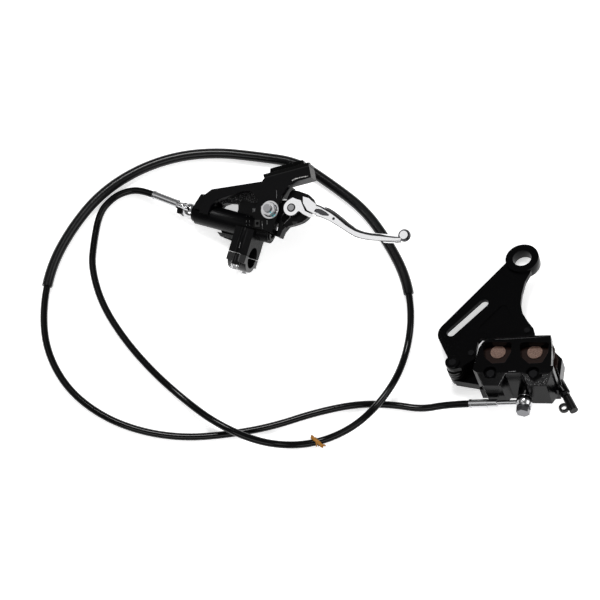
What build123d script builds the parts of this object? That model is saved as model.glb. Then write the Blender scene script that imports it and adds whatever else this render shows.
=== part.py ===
"""Rear hydraulic brake: bar lever and master cylinder, hose, floating caliper and axle bracket.

Millimetres, +Z up.  Everything lies on the plane z = 0 as it came to rest.
Two tilted frames carry the pieces:
the lever frame has x along the handlebar, y away from the bar and z along the lever pivot,
the caliper frame has x and y in the bracket plane and z along the wheel axle.
"""
from build123d import *
import os
import math

os.makedirs("parts", exist_ok=True)

# Lever frame: where the pivot stands on the near face of the casting, and how it leans
PIVOT_AT = (-102.6, 82.7, 53.3)
BAR_DIR = (0.90622, -0.33608, 0.25656)
PIVOT_DIR = (-0.31115, -0.11923, 0.94285)

# Caliper frame: axle centre on the near face of the bracket
AXLE_AT = (161.0, 40.7, 16.5)
BRACKET_X = (0.9318, -0.0897, 0.3517)
BRACKET_N = (-0.3043, 0.3353, 0.8916)

RUN = 0.3          # clearance between pieces that move past each other
PIN_FIT = 0.05     # radial clearance of a running pin
SEAT = 0.1         # gap between a bolt shank and its clearance hole

# Master cylinder
BORE_R = 6.35
BARREL_R = 11.75
BARREL_Y = -20.5
BARREL_Z = -16.0
BARREL_LEFT = -84.0
BARREL_COLLAR_R = 9.5
BARREL_COLLAR_L = 4.0
BARREL_RIGHT = 3.0
EAR_T = 7.0
CARRIER_T = 12.4
EAR_GAP = CARRIER_T + 2 * RUN
FAR_EAR_Z = -EAR_T - EAR_GAP
PIVOT_R = 4.0
ARM_DEPTH = 31.0

# Reservoir, in its own frame along the lid
LID_AT = (-16.9, 30.2)
LID_ANGLE = 28.0
TANK_L = 50.0
TANK_DEEP = 18.0
TANK_H = 12.0
TANK_WALL = 3.0
LID_FLANGE_T = 3.2
LID_STEP_H = 5.6
LID_STEP_IN = 5.5
LID_STEP_SIDE = 3.0
DIAPHRAGM_T = 1.2

# Handlebar clamp
BAR_R = 11.1
BAR_Y = -51.8
CLAMP_X0 = -31.0
CLAMP_X1 = -10.0
CLAMP_WALL = 4.6
CLAMP_SPLIT = 0.6
CLAMP_PITCH = 28.4
CLAMP_BOLT_R = 2.5
CLAMP_BOSS_R = 5.0
CLAMP_END_Y = -66.6

# Piston group
PISTON_R = BORE_R - PIN_FIT
PISTON_LEFT = -38.0
PISTON_RIGHT = BARREL_RIGHT - 1.5
CUP_T = 3.0
BOOT_LIP = 1.2
SPRING_WIRE = 1.0
SPRING_R = 4.6
SPRING_TURNS = 7
BORE_END = -78.0

# Lever blade and its fold pin
FOLD_AT = (19.5, 8.3)
EYE_R = 7.2
FOLD_PIN_R = 3.2
BLADE_TOP = -5.0
EYE_T = 6.4
CARRIER_STEP = BLADE_TOP - EYE_T - RUN
BALL_AT = (142.0, 9.9)
BALL_R = 6.6
BLADE_T = 11.0
BLADE_CHAMFER = 1.6
DIMPLE_AT = (66.3, 7.0)
DIMPLE_R = 1.8

ADJUSTER_TIP = (11.0, 21.5, -14.6)
ADJUSTER_L = 18.3
ADJUSTER_R = 2.2

# Hose and fittings
HOSE_R = 3.7
SLEEVE_R = 5.5
SLEEVE_BORE_R = 4.0
CRIMP_R = 4.4
COLLAR_R = 4.0
NECK_R = 2.6
BANJO_R = 8.4
BANJO_T = 9.0
BANJO_BOLT_R = 4.0
BANJO_HEX = 12.0
WASHER_T = 1.2
WASHER_R = 6.6
MASTER_TUBE = ((0, 0, 0), (0, 1.4, 13.0), (-10.0, 2.4, 13.0))
MASTER_CRIMP_L = 30.0
MASTER_BEND_R = 6.0
CALIPER_FITTING = (28.0, 10.0, 19.0)

# Caliper, which spans the rim of a disc centred on the axle
DISC_R = 136.0
RIM_Y = -DISC_R
PLATE_T = 5.0
AXLE_BOSS_R = 17.5
AXLE_BORE_R = 10.0
AXLE_BOSS_FRONT = 3.0
AXLE_BOSS_BACK = 4.6
SLOT_W = 9.6
SLOT_A = (-63.5, -91.0)
SLOT_B = (-34.0, -55.0)
PAD_X = 8.65
PAD_Y = RIM_Y + 19.0
PISTON_PITCH = 37.5
CAL_PISTON_R = 12.7
CAL_BORE_R = CAL_PISTON_R + PIN_FIT
CLAW_FRONT = 12.0
CLAW_BACK = 2.2
BACKPLATE_T = 3.5
PLUG_R = 7.6
PLUG_T = 1.2
FRICTION_T = 5.0
DISC_GAP = 4.2
OUTER_PAD_FACE = CLAW_BACK - 0.2
OUTER_FRICTION_BACK = OUTER_PAD_FACE - BACKPLATE_T - FRICTION_T
INNER_FRICTION_FRONT = OUTER_FRICTION_BACK - DISC_GAP
INNER_PAD_BACK = INNER_FRICTION_FRONT - FRICTION_T - BACKPLATE_T
HOUSING_FRONT = INNER_PAD_BACK - 1.2
HOUSING_BACK = HOUSING_FRONT - 23.0
BODY_BOTTOM = RIM_Y - 20.0
SLIDE_AT = (-56.5, RIM_Y + 8.0)
EAR_BACK = -30.0
EAR_R = 8.0
SLIDE_BOSS_R = 7.4
SLIDE_BOSS_STEP = 2.0
RIVET_R = 2.5
POCKET_DEEP = 1.0
CAL_WALL = 4.0
CAL_BOSS_R = 7.4
SLIDE_PIN_R = 4.0
SLIDE_BORE_R = SLIDE_PIN_R + PIN_FIT
BOOT_R = 8.2
FLOAT_TRAVEL = 1.0
PAD_PIN_R = 2.5
PAD_PIN_Y = RIM_Y - 10.0
PAD_PIN_PITCH = 43.0
PIN_RECESS = 5.0
PIN_RECESS_R = 6.4
TAB_R = 5.4
TAB_ROOM = 0.8
BLEED_AT = (51.0, RIM_Y - 3.0, -28.0)
BLEED_DIR = (0.5, -0.866, 0.0)
CAL_BANJO_AT = (17.6, BODY_BOTTOM - WASHER_T - BANJO_T / 2, -20.0)

BANJO_X = BARREL_LEFT - BARREL_COLLAR_L - WASHER_T - BANJO_T / 2
BANJO_FRAME = Pos(BANJO_X, BARREL_Y, BARREL_Z) * Rot(0, 0, -90)
CALIPER_TURN = -4.5
LEVER = Plane(origin=PIVOT_AT, x_dir=BAR_DIR, z_dir=PIVOT_DIR).location
CALIPER = Plane(origin=AXLE_AT, x_dir=BRACKET_X, z_dir=BRACKET_N).location
CAL_BANJO = Pos(*CAL_BANJO_AT) * Rot(0, CALIPER_TURN, 0)
TANK = Pos(LID_AT[0], LID_AT[1], 0) * Rot(0, 0, LID_ANGLE)

made = {}


def keep(name, shape, frame=None):
    """Place a piece in the part's frame and write it."""
    placed = shape if frame is None else frame * shape
    made[name] = placed
    export_step(placed, f"parts/{name}.step")


def prism(points, low, high):
    """A flat outline pulled from one height to another along z."""
    return Pos(0, 0, low) * extrude(make_face(Polyline(*points, close=True)), high - low, dir=(0, 0, 1))


def rod(start, axis, radius, length):
    """A cylinder that starts at a point and runs along an axis."""
    ends = (Align.CENTER, Align.CENTER, Align.MIN)
    return Plane(origin=start, z_dir=axis).location * Cylinder(radius, length, align=ends)


def hexagon(start, axis, across_flats, height):
    """A hexagonal prism that starts at a point and runs along an axis."""
    face = RegularPolygon(across_flats / 2, 6, major_radius=False)
    return Plane(origin=start, z_dir=axis).location * extrude(face, height, dir=(0, 0, 1))


def block(low, high):
    """A box between two corners."""
    size = [b - a for a, b in zip(low, high)]
    middle = [(a + b) / 2 for a, b in zip(low, high)]
    return Pos(*middle) * Box(*size)


def rounded(points, low, high, radius):
    """A flat outline with rounded corners, pulled along z."""
    outline = FilletPolyline(*points, radius=radius, close=True)
    return Pos(0, 0, low) * extrude(make_face(outline), high - low, dir=(0, 0, 1))


def arm_outline():
    """The casting's near face: the arm, the ear and the skirt under the tank, as one plate."""
    return [
        (-76.4, -21.2), (-75.3, -0.8), (-69.8, 5.7), (-18.1, 26.6), (-16.9, 30.2), (27.2, 53.6),
        (32.8, 43.1), (20.9, 36.4), (11.6, 29.6), (9.0, 22.0), (7.2, 16.8), (7.4, 7.0),
        (9.2, -2.0), (9.0, -22.0), (-13.6, -22.0), (-31.0, -22.0),
    ]


def window_outline():
    """The gap between arm, ear and barrel."""
    return [(-65.6, -12.0), (-61.9, -4.4), (-35.6, 11.8), (-28.2, 14.2), (-17.6, 8.5), (-14.8, 3.6),
            (-13.6, -12.0)]


def master_body():
    near = prism(arm_outline(), -EAR_T, 0) - prism(window_outline(), -EAR_T - 1, 1)
    near -= prism([(-65.6, -12.0), (-13.6, -12.0), (-13.6, -21.5), (-31.0, -30.0), (-66.6, -30.0)],
                  -EAR_T - 1, 1)
    barrel = rod((BARREL_LEFT, BARREL_Y, BARREL_Z), (1, 0, 0), BARREL_R, BARREL_RIGHT - BARREL_LEFT)
    far_ear = prism([(-13.6, -14.0), (-14.8, 3.6), (-12.0, 12.0), (7.2, 16.8), (7.4, 7.0), (9.2, -2.0),
                     (2.0, -14.0)], FAR_EAR_Z - EAR_T, FAR_EAR_Z)
    ear_wall = block((-16.0, -12.0, FAR_EAR_Z - EAR_T), (-10.5, 16.0, 0))
    neck = prism([(-18.0, 12.0), (-18.1, 26.0), (10.0, 30.5), (4.0, 18.0), (-10.5, 14.0)],
                 FAR_EAR_Z - EAR_T, 0)
    roof = prism([(-75.0, -2.0), (-69.8, 5.7), (-18.1, 26.6), (-15.6, 29.4), (-12.0, 25.0),
                  (-18.1, 22.0), (-68.0, 2.2), (-70.5, -3.0)],
                 -ARM_DEPTH, 0)
    rib = prism([(-76.0, -16.0), (-75.3, -0.8), (-69.8, 5.7), (-18.1, 26.6), (-18.1, 14.0), (-35.6, 11.8),
                 (-61.9, -4.4), (-65.6, -12.0)], -ARM_DEPTH, -ARM_DEPTH + 6.0)
    end = prism([(-84.6, -13.4), (-81.0, -1.8), (-75.8, -0.9), (-68.0, 3.0), (-66.0, -18.0), (-84.0, -18.0)],
                BARREL_Z - 10.0, -2.0)
    feed = rounded([(-40.0, -12.0), (-40.0, 3.5), (-18.0, 5.0), (-13.0, 20.0), (-11.0, 20.0), (-11.0, -12.0)],
                   BARREL_Z - 10.0, BARREL_Z + 3.0, 1.5)
    fin = prism([(-58.0, -30.0), (-52.0, -38.0), (-31.0, -40.0), (-31.0, -30.0)], -29.0, -25.0)
    outer = TANK * block((0, -TANK_H, -TANK_DEEP), (TANK_L, 0, 0))
    inner = TANK * block((TANK_WALL, -TANK_H + TANK_WALL, -TANK_DEEP + TANK_WALL),
                         (TANK_L - TANK_WALL, 1, -TANK_WALL))
    clamp = block((CLAMP_X0, BAR_Y + CLAMP_SPLIT / 2, BARREL_Z - CLAMP_PITCH / 2 - 3.2),
                  (CLAMP_X1, BARREL_Y - 4.0, BARREL_Z + CLAMP_PITCH / 2 + 3.2))
    for side in (-1, 1):
        clamp += rod(((CLAMP_X0 + CLAMP_X1) / 2, BAR_Y + CLAMP_SPLIT / 2, BARREL_Z + side * CLAMP_PITCH / 2),
                     (0, 1, 0), CLAMP_BOSS_R, 27.0)
    body = near + barrel + far_ear + ear_wall + neck + roof + rib + end + feed + fin + outer + clamp
    body += rod((BARREL_LEFT - BARREL_COLLAR_L, BARREL_Y, BARREL_Z), (1, 0, 0), BARREL_COLLAR_R, 8.0)
    body -= rod((BARREL_LEFT - BARREL_COLLAR_L - 1, BARREL_Y, BARREL_Z), (1, 0, 0), BANJO_BOLT_R + 0.02, 9.5)
    body -= inner
    body -= rod((CLAMP_X0 - 1, BAR_Y, BARREL_Z), (1, 0, 0), BAR_R, CLAMP_X1 - CLAMP_X0 + 2)
    for side in (-1, 1):
        body -= rod(((CLAMP_X0 + CLAMP_X1) / 2, BAR_Y, BARREL_Z + side * CLAMP_PITCH / 2),
                    (0, 1, 0), CLAMP_BOLT_R + SEAT, 16.0)
    body -= rod((BORE_END, BARREL_Y, BARREL_Z), (1, 0, 0), BORE_R, BARREL_RIGHT - BORE_END + 1)
    body -= rod((0, 0, FAR_EAR_Z - EAR_T - 1), (0, 0, 1), PIVOT_R + SEAT, 40.0)
    body -= prism([(-9.8, -8.4), (-9.8, 13.0), (6.0, 13.6), (40.0, 13.6), (40.0, -8.4)], FAR_EAR_Z, -EAR_T)
    return body


def clamp_cap():
    cap = block((CLAMP_X0, CLAMP_END_Y + 6.0, BARREL_Z - CLAMP_PITCH / 2 - 3.2),
                (CLAMP_X1, BAR_Y - CLAMP_SPLIT / 2, BARREL_Z + CLAMP_PITCH / 2 + 3.2))
    cap += rod((CLAMP_X0, BAR_Y, BARREL_Z), (1, 0, 0), BAR_R + CLAMP_WALL, CLAMP_X1 - CLAMP_X0)
    for side in (-1, 1):
        cap += rod(((CLAMP_X0 + CLAMP_X1) / 2, CLAMP_END_Y + 2.5, BARREL_Z + side * CLAMP_PITCH / 2),
                   (0, 1, 0), CLAMP_BOSS_R, BAR_Y - CLAMP_SPLIT / 2 - CLAMP_END_Y - 2.5)
    cap -= block((CLAMP_X0 - 1, BAR_Y - CLAMP_SPLIT / 2, -60), (CLAMP_X1 + 1, 0, 40))
    cap -= rod((CLAMP_X0 - 1, BAR_Y, BARREL_Z), (1, 0, 0), BAR_R, CLAMP_X1 - CLAMP_X0 + 2)
    for side in (-1, 1):
        cap -= rod(((CLAMP_X0 + CLAMP_X1) / 2, CLAMP_END_Y - 5, BARREL_Z + side * CLAMP_PITCH / 2),
                   (0, 1, 0), CLAMP_BOLT_R + SEAT, 30.0)
    return cap


def clamp_bolts():
    bolts = []
    for side in (-1, 1):
        foot = ((CLAMP_X0 + CLAMP_X1) / 2, CLAMP_END_Y + 2.5, BARREL_Z + side * CLAMP_PITCH / 2)
        bolt = rod(foot, (0, 1, 0), CLAMP_BOLT_R, 28.0) + rod(foot, (0, -1, 0), CLAMP_BOSS_R - 0.6, 1.2)
        bolt += hexagon((foot[0], foot[1] - 1.2, foot[2]), (0, -1, 0), 7.0, 3.6)
        bolts.append(bolt)
    return Compound(children=bolts)


def lid():
    flange = block((0, RUN / 3 + DIAPHRAGM_T, -TANK_DEEP), (TANK_L, DIAPHRAGM_T + LID_FLANGE_T, 0))
    low = DIAPHRAGM_T + LID_FLANGE_T
    step = extrude(Plane.XZ.offset(-low) * Pos(TANK_L / 2, -TANK_DEEP / 2)
                   * RectangleRounded(TANK_L - 2 * LID_STEP_IN, TANK_DEEP - 2 * LID_STEP_SIDE, 3),
                   LID_STEP_H, dir=(0, 1, 0), taper=12)
    return TANK * (flange + step)


def diaphragm():
    return TANK * block((0.4, 0, -TANK_DEEP + 0.4), (TANK_L - 0.4, DIAPHRAGM_T, -0.4))


def lid_screws():
    screws = []
    for along in (2.9, TANK_L - 2.9):
        top = DIAPHRAGM_T + LID_FLANGE_T
        screws.append(TANK * rod((along, top, -TANK_DEEP / 2), (0, 1, 0), 2.4, 1.8))
    return Compound(children=screws)


def piston():
    shape = rod((PISTON_LEFT, BARREL_Y, BARREL_Z), (1, 0, 0), PISTON_R, PISTON_RIGHT - PISTON_LEFT)
    shape -= rod((PISTON_LEFT + 5.0, BARREL_Y, BARREL_Z), (1, 0, 0), PISTON_R + 1, CUP_T)
    shape += rod((PISTON_LEFT + 4.0, BARREL_Y, BARREL_Z), (1, 0, 0), 4.0, CUP_T + 2.0)
    shape -= rod((-20.0, BARREL_Y, BARREL_Z), (1, 0, 0), PISTON_R + 1, 14.0)
    shape += rod((-21.0, BARREL_Y, BARREL_Z), (1, 0, 0), 4.2, 16.0)
    return shape


def piston_cup():
    left = PISTON_LEFT + 5.0
    ring = rod((left + 0.1, BARREL_Y, BARREL_Z), (1, 0, 0), PISTON_R, CUP_T - 0.2)
    return ring - rod((left - 1, BARREL_Y, BARREL_Z), (1, 0, 0), 4.05, CUP_T + 2)


def return_spring():
    length = PISTON_LEFT - BORE_END - 2 * SPRING_WIRE - 0.2
    path = Helix(length / SPRING_TURNS, length, SPRING_R)
    coil = sweep(Plane(origin=path @ 0, z_dir=path % 0) * Circle(SPRING_WIRE / 2), path=path)
    return Plane(origin=(BORE_END + SPRING_WIRE, BARREL_Y, BARREL_Z), z_dir=(1, 0, 0)).location * coil


def dust_boot():
    left = BARREL_RIGHT
    boot = rod((left, BARREL_Y, BARREL_Z), (1, 0, 0), 8.7, BOOT_LIP)
    return boot - rod((left - 1, BARREL_Y, BARREL_Z), (1, 0, 0), BORE_R, 4.0)


def pivot_bolt():
    low = FAR_EAR_Z - EAR_T
    bolt = rod((0, 0, low - 0.0), (0, 0, 1), PIVOT_R, -low + 11.0)
    bolt += hexagon((0, 0, low), (0, 0, -1), 12.0, 5.0)
    return bolt


def pivot_nut():
    nut = rod((0, 0, 0), (0, 0, 1), 9.45, 1.6) + hexagon((0, 0, 1.4), (0, 0, 1), 13.0, 6.4)
    return nut - rod((0, 0, -1), (0, 0, 1), PIVOT_R + 0.02, 12.0)


def lever_carrier():
    full = rod((0, 0, FAR_EAR_Z + RUN), (0, 0, 1), 7.9, CARRIER_T)
    outline = [(2.0, 7.4), (9.0, 12.0), (10.6, 24.5), (12.6, 27.5), (20.2, 27.8), (30.9, 26.8), (36.0, 24.0),
               (39.4, 20.3), (38.4, 8.0), (37.0, 2.6), (33.0, -2.5), (25.4, -7.4), (19.4, -10.6),
               (16.4, -17.0), (15.6, -24.0), (11.8, -24.0), (10.6, -12.0), (8.0, -6.0), (2.0, -7.4)]
    plate = prism(outline, FAR_EAR_Z + RUN, -EAR_T - RUN)
    carrier = full + plate
    sweep_room = rod((FOLD_AT[0], FOLD_AT[1], CARRIER_STEP), (0, 0, 1), 28.0, 10.0)
    sweep_room -= prism([(-20, -40), (-20, 40), (8.9, 40), (8.9, 16.0), (12.2, 8.3), (8.9, 0.6), (16, -12), (60, -20),
                         (60, -40)], -40, 10)
    carrier -= sweep_room
    carrier -= rod((0, 0, -60), (0, 0, 1), PIVOT_R + PIN_FIT, 80.0)
    carrier -= rod((FOLD_AT[0], FOLD_AT[1], -60), (0, 0, 1), FOLD_PIN_R + SEAT, 80.0)
    carrier -= rod(ADJUSTER_TIP, (1, 0, 0), ADJUSTER_R + 0.02, 60.0)
    nose = rod((13.0, BARREL_Y, FAR_EAR_Z + RUN + CARRIER_T / 2), (-1, 0, 0), 3.0, 13.0 - PISTON_RIGHT - RUN)
    return carrier + nose


def fold_pin():
    low = FAR_EAR_Z + RUN
    return rod((FOLD_AT[0], FOLD_AT[1], low), (0, 0, 1), FOLD_PIN_R, BLADE_TOP - low + 0.8)


def blade_top_edge():
    return [(26.0, 19.0), (36.0, 22.0), (44.0, 16.0), (56.0, 13.4), (66.0, 12.0), (76.0, 8.6), (86.0, 4.6),
            (98.0, 3.6), (112.0, 5.2), (125.0, 8.0), (136.0, 10.8), (141.0, 12.0)]


def blade_low_edge():
    return [(141.0, 5.6), (136.0, 4.2), (125.0, 1.0), (112.0, -2.0), (98.0, -3.6), (84.0, -3.0),
            (74.0, 0.6), (64.0, 3.8), (54.0, 4.6), (46.0, 3.8), (41.0, 2.6), (34.0, 2.0)]


def blade_recess():
    """The almond-shaped hollow behind the facet."""
    return [(46.0, 8.6), (47.6, 11.2), (53.6, 11.6), (61.6, 8.4), (58.9, 7.2), (51.0, 7.4)]


def lever_blade():
    eye = rod((FOLD_AT[0], FOLD_AT[1], BLADE_TOP), (0, 0, -1), EYE_R, EYE_T)
    neck = prism([(20.0, 15.4), (26.0, 17.0), (34.0, 18.6), (46.0, 14.0), (48.0, 4.0), (40.0, 2.8), (32.0, 4.0),
                  (21.0, 1.4)], BLADE_TOP - EYE_T, BLADE_TOP)
    grip = prism(blade_top_edge()[2:] + blade_low_edge()[:-2], BLADE_TOP - BLADE_T, BLADE_TOP)
    grip = chamfer(grip.edges().group_by(Axis.Z)[-1], BLADE_CHAMFER)
    facet = prism([(31.0, 20.0), (36.0, 21.4), (44.0, 15.6), (38.0, 6.0)], BLADE_TOP - EYE_T, BLADE_TOP + 1.2)
    ball = Pos(BALL_AT[0], BALL_AT[1], BLADE_TOP - BLADE_T / 2) * Sphere(BALL_R)
    blade = eye + neck + grip + facet + ball
    blade -= prism(blade_recess(), BLADE_TOP - 1.6, BLADE_TOP + 2)
    blade -= rod((DIMPLE_AT[0], DIMPLE_AT[1], BLADE_TOP - 1.2), (0, 0, 1), DIMPLE_R, 4.0)
    return blade - rod((FOLD_AT[0], FOLD_AT[1], -60), (0, 0, 1), FOLD_PIN_R + PIN_FIT, 80.0)


def reach_adjuster():
    """Stop screw across the carrier's upper corner; its tip sets how far the lever stands from the bar."""
    at, length = ADJUSTER_TIP, ADJUSTER_L
    screw = rod(at, (1, 0, 0), ADJUSTER_R, length)
    return screw - hexagon((at[0] + length - 2.4, at[1], at[2]), (1, 0, 0), 2.4, 4.0)


def banjo_ring():
    return Sphere(BANJO_R) & rod((0, -BANJO_T / 2, 0), (0, 1, 0), BANJO_R + 2, BANJO_T)


def crimp(start, along, length):
    """Crimped ferrule with a rolled lip where the hose goes in."""
    return rod(start, along, CRIMP_R, length) + rod(start + along * (length - 2.0), along, CRIMP_R + 0.4, 2.0)


def caliper_fitting():
    """Banjo ring with its bolt axis on y, straight neck, collar and crimp; gives the crimp's mouth too."""
    neck, collar, length = CALIPER_FITTING
    along = Vector(-1, 0, 0)
    shape = banjo_ring() + rod((0, 0, 0), along, NECK_R, neck + 0.5)
    shape -= rod((0, -20, 0), (0, 1, 0), BANJO_BOLT_R + SEAT, 40.0)
    shape += rod(along * neck, along, COLLAR_R, collar) + crimp(along * (neck + collar), along, length)
    return shape, along * (neck + collar + length), along


def master_fitting():
    """Banjo ring on the end of the barrel, and a tube that turns back over the bolt head to its crimp."""
    points = [Vector(-y, x, z) for x, y, z in MASTER_TUBE]
    along = (points[2] - points[1]).normalized()
    path = FilletPolyline(points[0], points[1], points[2] + along * 0.5, radius=MASTER_BEND_R)
    tube = sweep(Plane(origin=path @ 0, z_dir=path % 0) * Circle(NECK_R), path=path)
    shape = banjo_ring() + tube
    shape -= rod((0, -20, 0), (0, 1, 0), BANJO_BOLT_R + SEAT, 40.0)
    shape += crimp(points[2], along, MASTER_CRIMP_L)
    return shape, points[2] + along * MASTER_CRIMP_L, along


def banjo_bolt(thread):
    """Hollow bolt with its head on the -y side of the ring."""
    base = -BANJO_T / 2 - WASHER_T
    bolt = rod((0, base, 0), (0, 1, 0), BANJO_BOLT_R, BANJO_T + 2 * WASHER_T + thread)
    bolt += rod((0, base, 0), (0, -1, 0), WASHER_R + 0.6, 1.6)
    return bolt + hexagon((0, base - 1.6, 0), (0, -1, 0), BANJO_HEX, 5.4)


def crush_washers():
    washers = []
    for low in (-BANJO_T / 2 - WASHER_T, BANJO_T / 2):
        washer = rod((0, low, 0), (0, 1, 0), WASHER_R, WASHER_T)
        washers.append(washer - rod((0, low - 1, 0), (0, 1, 0), BANJO_BOLT_R + SEAT, WASHER_T + 2))
    return Compound(children=washers)


def from_rim(points):
    """Outline points whose y is measured from the lowest point of the disc's rim."""
    return [(x, RIM_Y + y) for x, y in points]


def round_corner(shape, x, y, radius):
    """Round the upright edge that stands nearest to a point of the outline."""
    edge = shape.edges().filter_by(Axis.Z).sort_by_distance((x, y, 0))[0]
    return fillet(edge, radius)


def bracket():
    outline = [(-17.0, -3.5), (-80.4, -91.1)] + from_rim([
        (-62.0, 13.0), (-55.0, 0.0), (-47.0, 2.0), (-40.5, 8.0), (-34.5, 12.0), (-33.6, 33.0), (-30.5, 37.6),
        (24.6, 37.6), (24.0, 42.9)]) + [
        (21.7, -86.4), (14.4, -77.2), (8.0, -67.3), (4.9, -56.1), (4.6, -43.6), (6.3, -27.8), (10.3, -17.1),
        (12.0, -4.0)]
    plate = prism(outline, -PLATE_T, 0)
    plate = round_corner(plate, -80.4, -91.1, 15.0)
    plate += rod((0, 0, -PLATE_T - AXLE_BOSS_BACK), (0, 0, 1), AXLE_BOSS_R,
                 PLATE_T + AXLE_BOSS_BACK + AXLE_BOSS_FRONT)
    plate += rod((*SLIDE_AT, -PLATE_T - SLIDE_BOSS_STEP), (0, 0, 1), SLIDE_BOSS_R,
                 PLATE_T + 2 * SLIDE_BOSS_STEP)
    plate -= rod((0, 0, -30), (0, 0, 1), AXLE_BORE_R, 60.0)
    dx, dy = SLOT_B[0] - SLOT_A[0], SLOT_B[1] - SLOT_A[1]
    length = math.hypot(dx, dy)
    slot = extrude(SlotCenterToCenter(length, SLOT_W), 40, dir=(0, 0, 1))
    plate -= Pos((SLOT_A[0] + SLOT_B[0]) / 2, (SLOT_A[1] + SLOT_B[1]) / 2, -20) \
        * Rot(0, 0, math.degrees(math.atan2(dy, dx))) * slot
    plate -= rounded([(-37.4, -87.6), (-12.0, -54.2), (4.8, -86.4), (-8.0, -93.0)], -POCKET_DEEP, 1.0, 4.0)
    plate -= rod((*SLIDE_AT, -30), (0, 0, 1), SLIDE_PIN_R + 0.02, 60.0)
    for x, y in rivet_places():
        plate -= rod((x, y, -30), (0, 0, 1), RIVET_R + 0.02, 60.0)
    return plate


def rivet_places():
    return ((15.9, -89.4), (-38.6, RIM_Y + 19.4))


def bracket_rivets():
    rivets = []
    for x, y in rivet_places():
        shank = rod((x, y, -PLATE_T + 0.2), (0, 0, 1), RIVET_R, PLATE_T - 0.2)
        rivets.append(shank + rod((x, y, 0), (0, 0, 1), RIVET_R + 0.6, 1.4))
    return Compound(children=rivets)


def slide_pin():
    return rod((SLIDE_AT[0], SLIDE_AT[1], EAR_BACK - 3.0), (0, 0, 1), SLIDE_PIN_R, -EAR_BACK + 3.0 + 1.4)


def slide_boot():
    top = -PLATE_T - 2 - FLOAT_TRAVEL - RUN
    low = HOUSING_FRONT + 0.2
    boot = rod((SLIDE_AT[0], SLIDE_AT[1], low), (0, 0, 1), BOOT_R, top - low)
    for z in (low + 3.0, low + 7.0, low + 11.0):
        groove = rod((SLIDE_AT[0], SLIDE_AT[1], z), (0, 0, 1), BOOT_R + 2, 1.6)
        boot -= groove - rod((SLIDE_AT[0], SLIDE_AT[1], z - 1), (0, 0, 1), BOOT_R - 1.2, 5.0)
    return boot - rod((SLIDE_AT[0], SLIDE_AT[1], low - 1), (0, 0, 1), SLIDE_PIN_R + RUN, 60.0)


def piston_xs():
    return (PAD_X - PISTON_PITCH / 2, PAD_X + PISTON_PITCH / 2)


def pin_xs():
    return (PAD_X - PAD_PIN_PITCH / 2, PAD_X + PAD_PIN_PITCH / 2)


def claw_window(x):
    """One of the claw's openings, where the outer pad's backplate shows."""
    return from_rim([(x - 14.4, 23.4), (x - 8.3, 25.2), (x + 15.2, 24.8), (x + 15.6, 13.2), (x + 11.0, 1.0),
                     (x - 2.0, -0.2), (x - 11.0, 7.5)])


def lobe(x, half):
    """One lobe of the bridge, narrower at its foot and cut back towards the claw's front."""
    outline = from_rim([(x - half, -2.6), (x - half, -11.0), (x - half + 5.0, -20.0), (x + half - 5.0, -20.0),
                        (x + half, -11.0), (x + half, -2.6)])
    front = [(RIM_Y - 9.0, CLAW_FRONT), (RIM_Y - 9.0, CLAW_FRONT + 1), (RIM_Y - 21.0, CLAW_FRONT + 1),
             (RIM_Y - 21.0, CLAW_FRONT - 10.9)]
    wedge = Plane.YZ.offset(x - half - 1) * make_face(Polyline(*front, close=True))
    return prism(outline, HOUSING_BACK + 12.0, CLAW_FRONT) - extrude(wedge, 2 * half + 2, dir=(1, 0, 0))

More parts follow.
